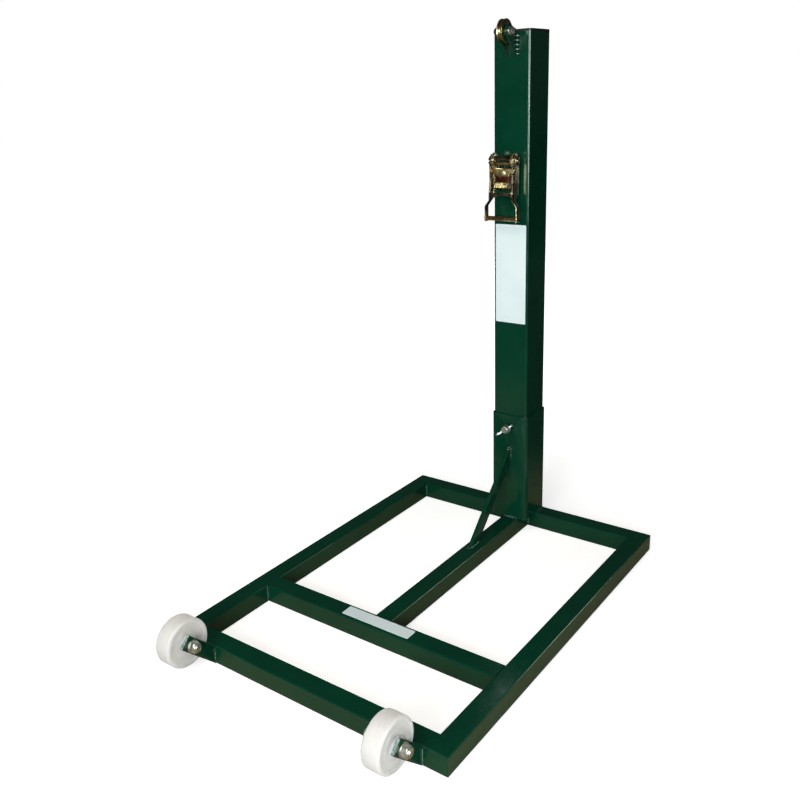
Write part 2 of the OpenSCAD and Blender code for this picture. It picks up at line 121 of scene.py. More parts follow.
def mix(tree, factor, first, second):
    """Goes from the first colour to the second as the factor goes from 0 to 1."""
    blend = tree.nodes.new("ShaderNodeMix")
    blend.data_type = "RGBA"
    feed(blend, Factor=factor, A=first, B=second)
    return blend.outputs["Result"]


def new_material(name, **settings):
    """A material, its node tree and its shader, which takes the settings."""
    material = bpy.data.materials.new(name)
    material.use_nodes = True
    shade = material.node_tree.nodes["Principled BSDF"]
    feed(shade, **settings)
    return material, material.node_tree, shade


world = bpy.data.worlds.new("studio")
world.use_nodes = True
bpy.context.scene.world = world
tree = world.node_tree
rays = add_node(tree, "LightPath").outputs
seen = add_node(tree, "Math", rays["Is Camera Ray"], rays["Is Transmission Ray"], operation="MAXIMUM")
feed(tree.nodes["Background"], Color=(1, 1, 1, 1), Strength=spread(tree, seen.outputs[0], 0.03, 1, 0, 1))

paper, tree, shade = new_material("pale_floor", Roughness=0.9, Specular_IOR_Level=0.1,
                                  Emission_Color=(1, 1, 1, 1))
rays = add_node(tree, "LightPath").outputs
where = add_node(tree, "TexCoord").outputs["Object"]
far = add_node(tree, "VectorMath", where, operation="LENGTH").outputs["Value"]
tan_near, dark_away = (0.42, 0.36, 0.2, 1), (0.05, 0.045, 0.04, 1)
mirrored_floor = mix(tree, spread(tree, far, 0, 1, 0.55, 0.85), tan_near, dark_away)
bounced_floor = mix(tree, rays["Is Diffuse Ray"], mirrored_floor, (0.45, 0.45, 0.45, 1))
white_floor = mix(tree, rays["Is Camera Ray"], bounced_floor, (0.9, 0.9, 0.9, 1))
glow = spread(tree, far, 0.65, 1, 0.6, 1.6)
lift = add_node(tree, "Math", glow, rays["Is Camera Ray"], operation="MULTIPLY")
feed(shade, Base_Color=white_floor, Emission_Strength=lift.outputs[0])
bpy.ops.object.select_all(action="DESELECT")
bpy.ops.mesh.primitive_plane_add(size=60, location=(0, -0.4, 0))
floor = bpy.context.object
floor.name = "floor"
floor.data.materials.append(paper)


# Outer frame of the base: two long rails and two end bars of 38 mm square steel tube, mitred and
# welded at the corners, ground flush and painted with a thick gloss enamel. From here on lengths
# are in millimetres, and the functions that make meshes turn them into metres.

mm = 0.001
tube_wall, tube_corner = 2, 3
seam = 0.08
half_width, rear_y, front_y = 300, 43.5, -756.5


def node_box(node):
    """The lowest and highest corners of a CAD node."""
    low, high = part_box(node)
    return low / mm, high / mm


def add_block(low, high, rotation=(0, 0, 0)):
    """Adds a block between two corners, turned about its middle."""
    low, high = Vector(low) * mm, Vector(high) * mm
    bpy.ops.object.select_all(action="DESELECT")
    bpy.ops.mesh.primitive_cube_add(size=1, location=(low + high) / 2, rotation=rotation, scale=high - low)


def settle(name):
    """Names the piece that was just added and moves its place into its mesh."""
    bpy.ops.object.transform_apply(location=True, rotation=True, scale=True)
    piece = bpy.context.object
    piece.name = name
    piece.data.name = name
    return piece


def start(name):
    """Settles the piece that was just added and opens it for editing."""
    piece = settle(name)
    bpy.ops.object.mode_set(mode="EDIT")
    return piece


def pick(piece, kind, wanted):
    """Selects only the edges or faces for which wanted(element) holds."""
    bpy.ops.mesh.select_mode(type=kind)
    bpy.ops.mesh.select_all(action="DESELECT")
    shape = bmesh.from_edit_mesh(piece.data)
    for element in {"EDGE": shape.edges, "FACE": shape.faces}[kind]:
        if wanted(element):
            element.select_set(True)
    shape.select_flush_mode()
    bmesh.update_edit_mesh(piece.data)


def round_corners(piece, along, radius, segments=6):
    """Rounds the edges that run along an axis."""

    def runs_along(edge):
        run = edge.verts[1].co - edge.verts[0].co
        return abs(run[along]) > 0.99 * run.length

    pick(piece, "EDGE", runs_along)
    bpy.ops.mesh.bevel(offset=radius * mm, segments=segments, affect="EDGES")


def saw(point, outward, fill=False):
    """Cuts off what lies outward of a plane through a point."""
    bpy.ops.mesh.select_all(action="SELECT")
    bpy.ops.mesh.bisect(plane_co=Vector(point) * mm, plane_no=outward, clear_outer=True, use_fill=fill)


def select_only(*pieces):
    bpy.ops.object.select_all(action="DESELECT")
    for piece in pieces:
        piece.select_set(True)
    bpy.context.view_layer.objects.active = pieces[0]


def modify(piece, kind, **settings):
    """Adds a modifier with these settings and applies it."""
    select_only(piece)
    modifier = piece.modifiers.new(kind.lower(), kind)
    for key, value in settings.items():
        setattr(modifier, key, value)
    bpy.ops.object.modifier_apply(modifier=modifier.name)


def bevel(piece, width, segments, degrees=40):
    """Breaks the edges that are sharper than so many degrees."""
    modify(piece, "BEVEL", width=width * mm, segments=segments, limit_method="ANGLE",
           angle_limit=math.radians(degrees))


def smooth(piece, degrees=35, level=False):
    """Shades the piece smooth; where level is set, its flat faces keep looking flat."""
    select_only(piece)
    bpy.ops.object.shade_smooth_by_angle(angle=math.radians(degrees))
    if level:
        modify(piece, "WEIGHTED_NORMAL", keep_sharp=True)


def place(piece, body, material_slot, material, *cad_nodes):
    """The finished piece takes its material, rides on its body and stands for its CAD nodes."""
    piece.data.materials.clear()
    piece.data.materials.append(material)
    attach(piece, body)
    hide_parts(*cad_nodes)


def square_tube(name, node, along, wall=tube_wall, corner=tube_corner, cuts=()):
    """A tube on its CAD node's box: a block without ends, its corners rounded, sawn, given a wall."""
    add_block(*node_box(node))
    tube = start(name)
    pick(tube, "FACE", lambda face: abs(face.normal[along]) > 0.9)
    bpy.ops.mesh.delete(type="ONLY_FACE")
    round_corners(tube, along, corner)
    for point, outward in cuts:
        saw(Vector(point) - Vector(outward).normalized() * seam, outward)
    bpy.ops.object.mode_set(mode="OBJECT")
    modify(tube, "SOLIDIFY", thickness=wall * mm, offset=-1, use_even_offset=True)
    bevel(tube, 0.25, 2)
    smooth(tube, level=True)
    return tube


def texture(tree, scale, detail=2.0, roughness=0.5, stretch=(1, 1, 1)):
    """A noise laid on the object's own coordinates; scale is in waves a metre."""
    where = add_node(tree, "TexCoord").outputs["Object"]
    laid = add_node(tree, "Mapping", Vector=where, Scale=stretch).outputs["Vector"]
    noise = add_node(tree, "TexNoise", Vector=laid, Scale=scale, Detail=detail, Roughness=roughness)
    return noise.outputs["Fac"]


def tint(tree, value, dark, light, bottom=0.3, top=0.7, halfway=None):
    """Turns a texture's middle band into colours, with a third one halfway if it is given."""
    ramp = add_node(tree, "ValToRGB", value)
    first, last = ramp.color_ramp.elements
    first.position, last.position = bottom, top
    first.color, last.color = (*dark, 1), (*light, 1)
    if halfway:
        ramp.color_ramp.elements.new((bottom + top) / 2).color = (*halfway, 1)
    return ramp.outputs["Color"]


def relief(tree, value, depth, below=None):
    """Raises the surface by a texture, over another relief if there is one."""
    bump = add_node(tree, "Bump", Strength=1, Distance=depth * mm, Height=value)
    if below:
        feed(bump, Normal=below)
    return bump.outputs["Normal"]


dark_green, light_green = (0.0007, 0.037, 0.0188), (0.0014, 0.0465, 0.0242)


def enamel(name, rough=(0.13, 0.25), coat=0.1):
    """Thick gloss paint: two close greens, orange peel, slow waves from the brush and dull patches."""
    material, tree, shade = new_material(name, Specular_IOR_Level=0.45, Coat_Weight=coat, Coat_Roughness=0.08)
    waves = relief(tree, texture(tree, 26), 0.5)
    feed(shade, Base_Color=tint(tree, texture(tree, 14, detail=4), dark_green, light_green),
         Roughness=spread(tree, texture(tree, 38, detail=3), *rough),
         Normal=relief(tree, texture(tree, 420), 0.03, waves))
    return material


green_enamel = enamel("green_enamel")
rear_left, rear_right = (-half_width, rear_y, 0), (half_width, rear_y, 0)
front_left, front_right = (-half_width, front_y, 0), (half_width, front_y, 0)
frame_tubes = {
    "side_rail_left": (1, [(rear_left, (1, 1, 0)), (front_left, (1, -1, 0))]),
    "side_rail_right": (1, [(rear_right, (-1, 1, 0)), (front_right, (-1, -1, 0))]),
    "rear_crossbar": (0, [(rear_left, (-1, -1, 0)), (rear_right, (1, -1, 0))]),
    "front_crossbar": (0, [(front_left, (-1, 1, 0)), (front_right, (1, 1, 0))]),
}
for node, (along, cuts) in frame_tubes.items():
    place(square_tube(node + "_tube", node, along, cuts=cuts), "base", "green_enamel", green_enamel, node)


# Inner tubes of the base: the mid crossbar between the rails and the spine that carries the
# load of the post forward. The same square tube, cut square and butted against the others.

for node, along in (("mid_crossbar", 0), ("centre_spine", 1)):
    place(square_tube(node + "_tube", node, along), "base", "green_enamel", green_enamel, node)


# Sleeve: the square socket that the post stands in, 87 mm over its 3 mm wall, welded on the rear
# crossbar. The wing screw goes through its front, near the top.

sleeve_wall, sleeve_corner = 3, 8.5
sleeve_half = 43.5
sleeve_front = -sleeve_half
screw_z = 257
screw_hole = 5.5


def add_bar(centre, along, radius, length, sides=48):
    """Adds a round or many-sided bar that lies along an axis, about its middle."""
    turn = ((0, math.pi / 2, 0), (math.pi / 2, 0, 0), (0, 0, 0))[along]
    bpy.ops.object.select_all(action="DESELECT")
    bpy.ops.mesh.primitive_cylinder_add(vertices=sides, radius=radius * mm, depth=length * mm,
                                        location=Vector(centre) * mm, rotation=turn)
    return bpy.context.object


def combine(piece, other, operation):
    """Cuts away another shape, adds it, or keeps only what lies in it; the other is used up."""
    modify(piece, "BOOLEAN", operation=operation, object=other, solver="EXACT")
    bpy.data.objects.remove(other, do_unlink=True)


def drill(piece, centre, along, radius, depth):
    """Cuts a round hole along an axis through a point."""
    combine(piece, add_bar(centre, along, radius, depth), "DIFFERENCE")


sleeve = square_tube("post_sleeve_tube", "post_sleeve", 2, sleeve_wall, sleeve_corner)
drill(sleeve, (0, sleeve_front, screw_z), 1, screw_hole, 4 * sleeve_wall)
smooth(sleeve)
place(sleeve, "base", "green_enamel", green_enamel, "post_sleeve")


# Brace strut: a 25 x 8 mm flat bar on edge, which props the sleeve against the spine. It is cut
# over-long and then sawn at both ends to fit.

strut_low, strut_high = node_box("brace_strut")
strut_half = strut_high.x
strut_length, strut_depth = 330, 25
strut_middle = (strut_low + strut_high) / 2 + Vector((0, 1, -1)).normalized() * strut_depth / 2
strut_reach = Vector((strut_half, strut_length / 2, strut_depth / 2))
add_block(strut_middle - strut_reach, strut_middle + strut_reach, rotation=(math.radians(45), 0, 0))
strut = start("brace_strut_bar")
saw((0, 0, strut_low.z), (0, 0, -1), fill=True)
saw((0, strut_high.y, 0), (0, 1, 0), fill=True)
bpy.ops.object.mode_set(mode="OBJECT")
bevel(strut, 1, 3, 30)
smooth(strut, level=True)
place(strut, "base", "green_enamel", green_enamel, "brace_strut")


# Welds of the base: short runs laid by hand in each inner corner, rippled across, painted over
# with the frame.

ripple = 1.9
pool_reach = (0.25, 0.35, 0.25, 0.15)
pool_swell = (1.32, 1.1, 0.93, 1 / (1.32 * 1.1 * 0.93))
weld_enamel = enamel("weld_enamel", rough=(0.05, 0.12), coat=0.8)


def draw_out(step):
    """Extrudes what is selected by a vector."""
    bpy.ops.mesh.extrude_region_move(TRANSFORM_OT_translate={"value": Vector(step) * mm})


def close_up():
    """Turns all faces outwards and leaves edit mode."""
    bpy.ops.mesh.select_all(action="SELECT")
    bpy.ops.mesh.normals_make_consistent(inside=False)
    bpy.ops.object.mode_set(mode="OBJECT")


def weld_run(begin, end, size, ripple=ripple):
    """One run of weld: a round bar drawn out in steps, each swelling and pinching like the pool did."""
    begin, end = Vector(begin), Vector(end)
    run = end - begin
    bpy.ops.object.select_all(action="DESELECT")
    bpy.ops.mesh.primitive_circle_add(vertices=12, radius=size * 0.55 * mm, fill_type="NGON",
                                      location=begin * mm, rotation=run.to_track_quat("Z", "Y").to_euler())
    bead = start("weld_run")
    steps = max(2, round(run.length / ripple))
    at = begin.copy()
    for _ in range(steps):
        for reach, swell in zip(pool_reach, pool_swell):
            step = run / steps * reach
            at = at + step
            draw_out(step)
            bpy.ops.transform.resize(value=(swell, swell, swell), center_override=at * mm)
    close_up()
    smooth(bead, 60)
    return bead


def join(name, pieces):
    """Makes one piece of several."""
    select_only(*pieces)
    bpy.ops.object.join()
    joined = bpy.context.object
    joined.name = name
    joined.data.name = name
    return joined


tube_top = 38
inner_x, cross_front, front_back, mid_rear, mid_front = 262, 5.5, -718.5, -519.5, -557.5
spine_sides = (-15, 23)
inset = 0.8
bead_low, bead_high = 4, 34


def upright(x, y, size=3):
    """A run up the corner between two tubes."""
    return weld_run((x, y, bead_low), (x, y, bead_high), size)


def lengthwise(x, begin, end, z, size=3):
    return weld_run((x, begin, z), (x, end, z), size)


def crosswise(begin, end, y, z, size=3):
    return weld_run((begin, y, z), (end, y, z), size)


runs = []
for side in (-1, 1):
    for y in (cross_front - inset, front_back + inset, mid_rear + inset, mid_front - inset):
        runs.append(upright(side * (inner_x - inset), y))
    runs.append(lengthwise(side * (sleeve_half + inset), 10, 38, tube_top + inset))
for x, out in zip(spine_sides, (-1, 1)):
    for y in (mid_rear + inset, cross_front - inset):
        runs.append(upright(x + out * inset, y))
runs.append(crosswise(spine_sides[0] + 3, spine_sides[1] - 3, sleeve_front - inset, tube_top + inset))
for side in (-1, 1):
    x = side * (strut_half + 0.2)
    runs.append(weld_run((x, sleeve_front - 0.6, 178), (x, sleeve_front - 0.6, 209), 2.6))
    runs.append(lengthwise(x, strut_low.y + 2, strut_low.y + 33, tube_top + 0.6, 2.6))
runs.append(weld_run((0, sleeve_front + 0.5, 211), (0, sleeve_front - 9, 204), 6.4, 5))
runs.append(crosswise(-strut_half, strut_half, strut_low.y - 1, tube_top + 0.8, 4))
wheel_x, fork_half, plate_thick = 226, 22, 6
for centre in (-wheel_x, wheel_x):
    for side in (-1, 1):
        runs.append(upright(centre + side * (fork_half + plate_thick + 0.6), front_y - 0.6, 2.4))
place(join("base_weld_runs", runs), "base", "green_enamel", weld_enamel, "base_weld_beads")


# Wheel brackets: for each wheel two strips of 27 x 6 mm flat bar, cut at 45 degrees, stood on the
# front crossbar's face and welded there, so that the wheel is clear of the floor at rest. Their
# sawn ends are painted pale greyish cyan: a painted reflection of bright light on the end faces.

diagonal = math.sqrt(0.5)
strip_wide, strip_long = 27, 98
axle_along = 78.5
axle_y = front_y - diagonal * axle_along + diagonal * strip_wide / 2
axle_z = diagonal * axle_along + diagonal * strip_wide / 2
axle_radius = 6
weld_gap = 0.3
same_point = 0.002


def merge_doubles():
    bpy.ops.mesh.select_all(action="SELECT")
    bpy.ops.mesh.remove_doubles(threshold=same_point * mm)


def trace(name, points):
    """Draws a closed line: one corner of a small plane is kept and drawn out from point to point."""
    bpy.ops.object.select_all(action="DESELECT")
    bpy.ops.mesh.primitive_plane_add(size=1 * mm, location=Vector(points[0]) * mm)
    line = start(name)
    bpy.ops.mesh.select_mode(type="VERT")
    bpy.ops.mesh.select_all(action="SELECT")
    bpy.ops.mesh.merge(type="CENTER")
    for last, point in zip(points, [*points[1:], points[0]]):
        draw_out(Vector(point) - Vector(last))
    merge_doubles()
    return line


def slab(name, outline, thickness):
    """A closed outline, filled and drawn out by a vector."""
    piece = trace(name, outline)
    bpy.ops.mesh.edge_face_add()
    draw_out(thickness)
    close_up()
    return piece


def plate(name, outline, thickness, edge=0.5, segments=2, holes=()):
    """A plate cut to an outline, as thick as a vector says, drilled, with its edges broken."""
    piece = slab(name, outline, thickness)
    along = max(range(3), key=lambda axis: abs(thickness[axis]))
    for centre, radius in holes:
        drill(piece, centre, along, radius, 12 * abs(thickness[along]))
    bevel(piece, edge, segments)
    smooth(piece, level=True)
    return piece


def bracket(x):
    bottom = Vector((x, front_y, weld_gap))
    out = Vector((0, -diagonal, diagonal)) * strip_long
    up = Vector((0, diagonal, diagonal)) * strip_wide
    outline = [bottom, bottom + out, bottom + out + up, (x, front_y, strip_wide / diagonal)]
    return plate("bracket", outline, (plate_thick, 0, 0), 0.8, 3, [((x, axle_y, axle_z), axle_radius + 0.2)])


def base_colour(material):
    """A material's node tree, its shader, and the colour that leads into it."""
    shade = material.node_tree.nodes["Principled BSDF"]
    return material.node_tree, shade, shade.inputs["Base Color"].links[0].from_socket


def ends_with_painted_reflection(name, end):
    """The frame's enamel, painted pale greyish cyan where a strip reaches its sawn end: a painted reflection.
    """
    material = enamel(name)
    tree, shade, green = base_colour(material)
    where = add_node(tree, "TexCoord").outputs["Object"]
    along = add_node(tree, "VectorMath", where, (0, -diagonal, diagonal), operation="DOT_PRODUCT")
    # The pale greyish cyan is a painted reflection on the sawn end faces, not a colour of the paint.
    painted_reflection = tint(tree, texture(tree, 260, detail=4), (0.03, 0.1, 0.075), (0.42, 0.52, 0.52))
    reached = spread(tree, along.outputs["Value"], 0, 1, (end - 0.3) * mm, (end - 0.15) * mm)
    feed(shade, Base_Color=mix(tree, reached, green, painted_reflection))
    return material


bracket_enamel = ends_with_painted_reflection("bracket_enamel", strip_long + diagonal * (weld_gap - front_y))
for name, centre in (("wheel_brackets_left", -wheel_x), ("wheel_brackets_right", wheel_x)):
    pair = join(name + "_strips", [bracket(centre - fork_half - plate_thick), bracket(centre + fork_half)])
    place(pair, "base", "green_enamel", bracket_enamel, name)


# Wheels: solid white nylon, 90 x 34 mm, turned with a sunk face on each side round a longer hub.
# The tread is scuffed grey where it has rolled.

wheel_radius, tread_half, tread_round = 45, 17, 4.2
hub_half, bore = 21, 8.45
tool_mark = 0.9


def turned(name, profile, centre, along=0, steps=72):
    """A lathe-turned piece: profile is a closed line of (distance along the axis, radius)."""
    centre = Vector(centre)
    axis = Vector([float(i == along) for i in range(3)])
    side = Vector([float(i == (along + 1) % 3) for i in range(3)])
    piece = trace(name, [centre + axis * a + side * r for a, r in profile])
    bpy.ops.mesh.spin(steps=steps, angle=2 * math.pi, center=centre * mm, axis=axis)
    merge_doubles()
    close_up()
    smooth(piece)
    return piece


def arc(centre, radius, begin, end, count=5):
    """Points on an arc, with angles in degrees counted from the first axis to the second."""
    angles = [math.radians(begin + (end - begin) * i / count) for i in range(count + 1)]
    return [(centre[0] + radius * math.cos(angle), centre[1] + radius * math.sin(angle)) for angle in angles]


def mirrored(profile):
    """The same profile on the other side of the middle, from its far end back."""
    return [(-a, r) for a, r in reversed(profile)]


def nylon(name, axle):
    """White nylon: milky, turned rings on its faces, grey scuffs on the tread."""
    material, tree, shade = new_material(name, Subsurface_Weight=1, Subsurface_Radius=(1, 1, 0.95),
                                         Subsurface_Scale=30 * mm, Specular_IOR_Level=0.5)
    scuffs = texture(tree, 90, detail=6, roughness=0.7, stretch=(3, 1, 1))
    where = add_node(tree, "TexCoord").outputs["Object"]
    from_axle = add_node(tree, "Mapping", Vector=where, Location=(0, -axle[0] * mm, -axle[1] * mm))
    flat = add_node(tree, "VectorMath", from_axle.outputs["Vector"], (0, 1, 1), operation="MULTIPLY")
    far = add_node(tree, "VectorMath", flat.outputs["Vector"], operation="LENGTH").outputs["Value"]
    waves = add_node(tree, "Math", far, 2 * math.pi / (tool_mark * mm), operation="MULTIPLY").outputs[0]
    rings = add_node(tree, "Math", waves, operation="SINE").outputs[0]
    feed(shade, Base_Color=tint(tree, scuffs, (0.74, 0.72, 0.66), (0.82, 0.82, 0.8), 0.3, 0.48),
         Roughness=spread(tree, scuffs, 0.55, 0.32),
         Normal=relief(tree, scuffs, 0.08, relief(tree, rings, 0.02)))
    return material


white_nylon = nylon("white_nylon", (axle_y, axle_z))
half_profile = ([(0, bore), (hub_half - 1, bore), (hub_half, bore + 1), (hub_half, 14.2)]
                + arc((hub_half - 1.2, 14.2), 1.2, 0, 90, 3)
                + [(15.3, 16.2), (14.6, 17.4), (14.5, 25), (14.9, 25.4), (14.9, 27), (14.5, 27.4),
                   (14.5, 36.6), (15, 37.6), (tread_half - 0.6, 38.2), (tread_half, 38.8)]
                + arc((tread_half - tread_round, wheel_radius - tread_round), tread_round, 0, 90, 8)
                + [(0, wheel_radius)])
wheel_profile = half_profile + mirrored(half_profile[1:-1])
for name, centre in (("wheel_left", -wheel_x), ("wheel_right", wheel_x)):
    wheel = turned(name + "_nylon", wheel_profile, (centre, axle_y, axle_z), steps=96)
    place(wheel, name, "white_nylon", white_nylon, name)


# Axles: M12 hexagon bolts with plain washers and a locking nut with a plastic ring, and between the
# plates a steel spacer tube that the wheel turns on. All bright zinc plate.

across_flats, head_high, nut_high = 19, 7.5, 9
washer_thick, washer_hole, washer_rim = 2.5, 6.4, 12
thread_pitch = 1.75
shank_past = 14.9


def zinc_plate(name, dark, light, rough=(0.22, 0.42)):
    """Zinc plating: cloudy grey, slightly grained, duller in patches."""
    material, tree, shade = new_material(name, Metallic=1)
    feed(shade, Base_Color=tint(tree, texture(tree, 260, detail=4, roughness=0.6), dark, light),
         Roughness=spread(tree, texture(tree, 700, detail=3), *rough),
         Normal=relief(tree, texture(tree, 1800), 0.01))
    return material


zinc = zinc_plate("bright_zinc", (0.36, 0.33, 0.28), (0.84, 0.83, 0.78), (0.28, 0.48))


def hexagon(name, centre, across, height):
    """A hexagon lying along X from its centre, with its corners turned off at both ends."""
    radius = across / math.sqrt(3)
    add_bar(Vector(centre) + Vector((height / 2, 0, 0)), 0, radius, height, sides=6)
    head = settle(name)
    chamfer, face_radius, rim_radius = 0.168 * height, 0.48 * across, 1.01 * radius
    blank = turned("blank", [(0, 0), (0, face_radius), (chamfer, rim_radius), (height - chamfer, rim_radius),
                             (height, face_radius), (height, 0)], centre)
    combine(head, blank, "INTERSECT")
    bevel(head, 0.2, 1, 35)
    smooth(head, 25)
    return head


def thread(radius, begin, end, pitch):
    """Half of a lathe profile for a threaded length, ridge by ridge."""
    points = []
    count = max(1, round((end - begin) / pitch))
    pitch = (end - begin) / count
    for i in range(count):
        points.append((begin + pitch * (i + 0.1), radius - 0.6 * pitch))
        points.append((begin + pitch * (i + 0.55), radius))
        points.append((begin + pitch * (i + 0.65), radius))
    return points


def washer_profile(half, hole, rim, chamfer):
    """A washer's section, half its thickness to each side, its rim broken."""
    return [(-half, hole), (half, hole), (half, rim - chamfer), (half - chamfer, rim),
            (chamfer - half, rim), (-half, rim - chamfer)]


bolt_parts, washer_parts, nut_parts, spacer_parts = [], [], [], []
outer = fork_half + plate_thick
for centre in (-wheel_x, wheel_x):
    head_at = centre - outer - washer_thick - head_high
    shank_at = head_at + head_high
    thread_at = centre + outer - shank_at
    shank_long = thread_at + shank_past
    bolt_parts.append(hexagon("head", (head_at, axle_y, axle_z), across_flats, head_high))
    shank = [(0, 0), (0, axle_radius), (thread_at - 2, axle_radius)]
    shank += thread(axle_radius, thread_at, shank_long - 1, thread_pitch)
    shank += [(shank_long, axle_radius - 1.6), (shank_long, 0)]
    bolt_parts.append(turned("shank", shank, (shank_at, axle_y, axle_z), steps=48))
    for side in (-1, 1):
        washer_at = (centre + side * (outer + washer_thick / 2), axle_y, axle_z)
        washer = washer_profile(washer_thick / 2, washer_hole, washer_rim, 0.4)
        washer_parts.append(turned("washer", washer, washer_at))
    nut_at = (centre + outer + washer_thick, axle_y, axle_z)
    nut_parts.append(hexagon("nut", nut_at, across_flats, nut_high))
    collar = [(8.6, 6.3), (8.6, 8.8)] + arc((10, 7.3), 1.5, 90, 0, 4) + [(11.5, 6.6), (11, 6.3)]
    nut_parts.append(turned("collar", collar, nut_at))
    spacer = [(-fork_half, 6.2), (-fork_half, 8.4), (fork_half, 8.4), (fork_half, 6.2)]
    spacer_parts.append(turned("spacer", spacer, (centre, axle_y, axle_z)))
for name, parts in (("axle_bolts", bolt_parts), ("axle_washers", washer_parts), ("axle_nuts", nut_parts),
                    ("axle_spacers", spacer_parts)):
    place(join(name + "_steel", parts), "base", "zinc", zinc, name)


# Labels: white film, left bare, a large one on the post's front and a small one on the mid
# crossbar. Rounded corners, pressed on by hand.

label_corner, label_rim = 2.5, 1


def film(name):
    """Printed film: almost white, satin, with faint ripples and bubbles under it."""
    material, tree, shade = new_material(name, Coat_Weight=0.2)
    cloud = texture(tree, 20, detail=4)
    waves = relief(tree, texture(tree, 34), 0.35)
    feed(shade, Base_Color=tint(tree, cloud, (0.76, 0.91, 0.95), (0.81, 0.95, 0.98)),
         Roughness=spread(tree, cloud, 0.28, 0.42),
         Normal=relief(tree, texture(tree, 210, detail=1), 0.05, waves))
    return material


white_film = film("white_film")


def label(name, node, body, across):
    """A thin block on the CAD label's box, its four corners rounded and its rim softened."""
    add_block(*node_box(node))
    sheet = start(name)
    round_corners(sheet, across, label_corner, 5)
    pick(sheet, "FACE", lambda face: abs(face.normal[across]) > 0.9)
    bpy.ops.mesh.inset(thickness=label_rim * mm)
    bpy.ops.object.mode_set(mode="OBJECT")
    bevel(sheet, 0.12, 2, 60)
    smooth(sheet)
    place(sheet, body, "label_film", white_film, node)


label("post_label_film", "post_label", "post", 1)
label("base_label_film", "base_label", "base", 2)


# Post: 80 mm square steel tube with a 3 mm wall, painted inside and out, with a black plastic cap
# pushed into its top.

post_half, post_wall, post_corner = 40, 3, 5
cap_plate, plug_gap, plug_wall = 4, 3.2, 2
post = square_tube("post_steel", "post_tube", 2, post_wall, post_corner)
place(post, "post", "green_enamel", green_enamel, "post_tube")

cap_low, cap_high = node_box("post_cap")
plug_deep = cap_high.z - cap_low.z - cap_plate
add_block((-post_half, -post_half, cap_high.z - cap_plate), (post_half, post_half, cap_high.z))
cap = start("post_cap_plug")
round_corners(cap, 2, post_corner)
pick(cap, "FACE", lambda face: face.normal.z < -0.9)
bpy.ops.mesh.inset(thickness=plug_gap * mm)
draw_out((0, 0, -plug_deep))
bpy.ops.mesh.inset(thickness=plug_wall * mm)
draw_out((0, 0, plug_deep))
bpy.ops.object.mode_set(mode="OBJECT")
bevel(cap, 1.2, 4, 60)
smooth(cap, level=True)


def moulded(name, colour, rough):
    """Moulded plastic: fine spark-eroded grain, slightly uneven gloss."""
    material, tree, shade = new_material(name, Base_Color=(*colour, 1))
    feed(shade, Roughness=spread(tree, texture(tree, 60, detail=4), *rough),
         Normal=relief(tree, texture(tree, 1500), 0.03))
    return material


black_plastic = moulded("black_plastic", (0.012, 0.013, 0.014), (0.35, 0.5))
place(cap, "post", "black_plastic", black_plastic, "post_cap")


# Pulley: two ears of 5 mm plate welded to the post's face, and between them a grooved sheave with
# a pressed-in bronze bush, turning on an M8 bolt. The sheave is yellow-passivated steel.

post_face = -post_half
pulley_y, pulley_z = -68, 1058
pulley_at = (0, pulley_y, pulley_z)
ear_in, ear_thick, ear_round = 6.5, 5, 12
ear_out = ear_in + ear_thick
ear_foot, ear_head = (post_face, 1012), (post_face, 1061)
sheave_half = 5.5
m8_radius, m8_hole = 4, 4.2
m8_flats, m8_head, m8_nut, m8_washer = 13, 5.5, 6, 1.6


def touch(point, centre, radius, side):
    """Where the straight line from a point touches a circle."""
    gap = Vector(centre) - Vector(point)
    angle = math.atan2(gap.y, gap.x) + side * math.asin(radius / gap.length)
    reach = math.sqrt(gap.length ** 2 - radius ** 2)
    return Vector(point) + reach * Vector((math.cos(angle), math.sin(angle)))


def ear(x):
    axis = Vector((pulley_y, pulley_z))
    under = touch(ear_foot, axis, ear_round, 1) - axis
    over = touch(ear_head, axis, ear_round, -1) - axis
    first, last = (math.degrees(math.atan2(way.y, way.x)) % 360 for way in (under, over))
    outline = [ear_foot, *arc(axis, ear_round, first, last, 14), ear_head]
    return plate("ear", [(x, y, z) for y, z in outline], (ear_thick, 0, 0), 0.7, 3,
                 [((x, pulley_y, pulley_z), m8_hole)])


ears = join("pulley_ears_plate", [ear(-ear_out), ear(ear_in)])
place(ears, "post", "green_enamel", green_enamel, "pulley_ears")


def passivated(name, dark, gold, pink, rough):
    """Yellow-passivated zinc: drifts from straw through olive to a brownish pink, a little cloudy."""
    material, tree, shade = new_material(name, Metallic=1)
    feed(shade, Base_Color=tint(tree, texture(tree, 32, detail=3), dark, pink, 0.34, 0.7, halfway=gold),
         Roughness=spread(tree, texture(tree, 500, detail=3), *rough),
         Normal=relief(tree, texture(tree, 1400), 0.012))
    return material


yellow_zinc = passivated("yellow_zinc", (0.56, 0.52, 0.33), (0.86, 0.79, 0.52), (0.78, 0.64, 0.5), (0.2, 0.4))
dark_zinc = passivated("dark_zinc", (0.16, 0.14, 0.08), (0.7, 0.6, 0.32), (0.4, 0.32, 0.2), (0.18, 0.34))
sheave_side = [(sheave_half, 6), (sheave_half, 8.6), (4.6, 9.2), (4.5, 15.6), (5.3, 16.4), (sheave_half, 17),
               (sheave_half, 21.2), (4.9, 22), (3.9, 22), (3.1, 21.3), (3, 20)]
sheave_profile = sheave_side + arc((0, 20), 3, 0, -180, 10)[1:-1] + mirrored(sheave_side)
place(turned("pulley_sheave", sheave_profile, pulley_at), "pulley", "yellow_zinc", dark_zinc, "pulley_wheel")
bronze = zinc_plate("bronze", (0.4, 0.24, 0.11), (0.6, 0.4, 0.2))
bush_side = [(sheave_half, 6), (sheave_half, 4.05)]
bush = turned("pulley_bush_bronze", mirrored(bush_side) + bush_side, pulley_at, steps=48)
place(bush, "pulley", "bronze", bronze, "pulley_bush")

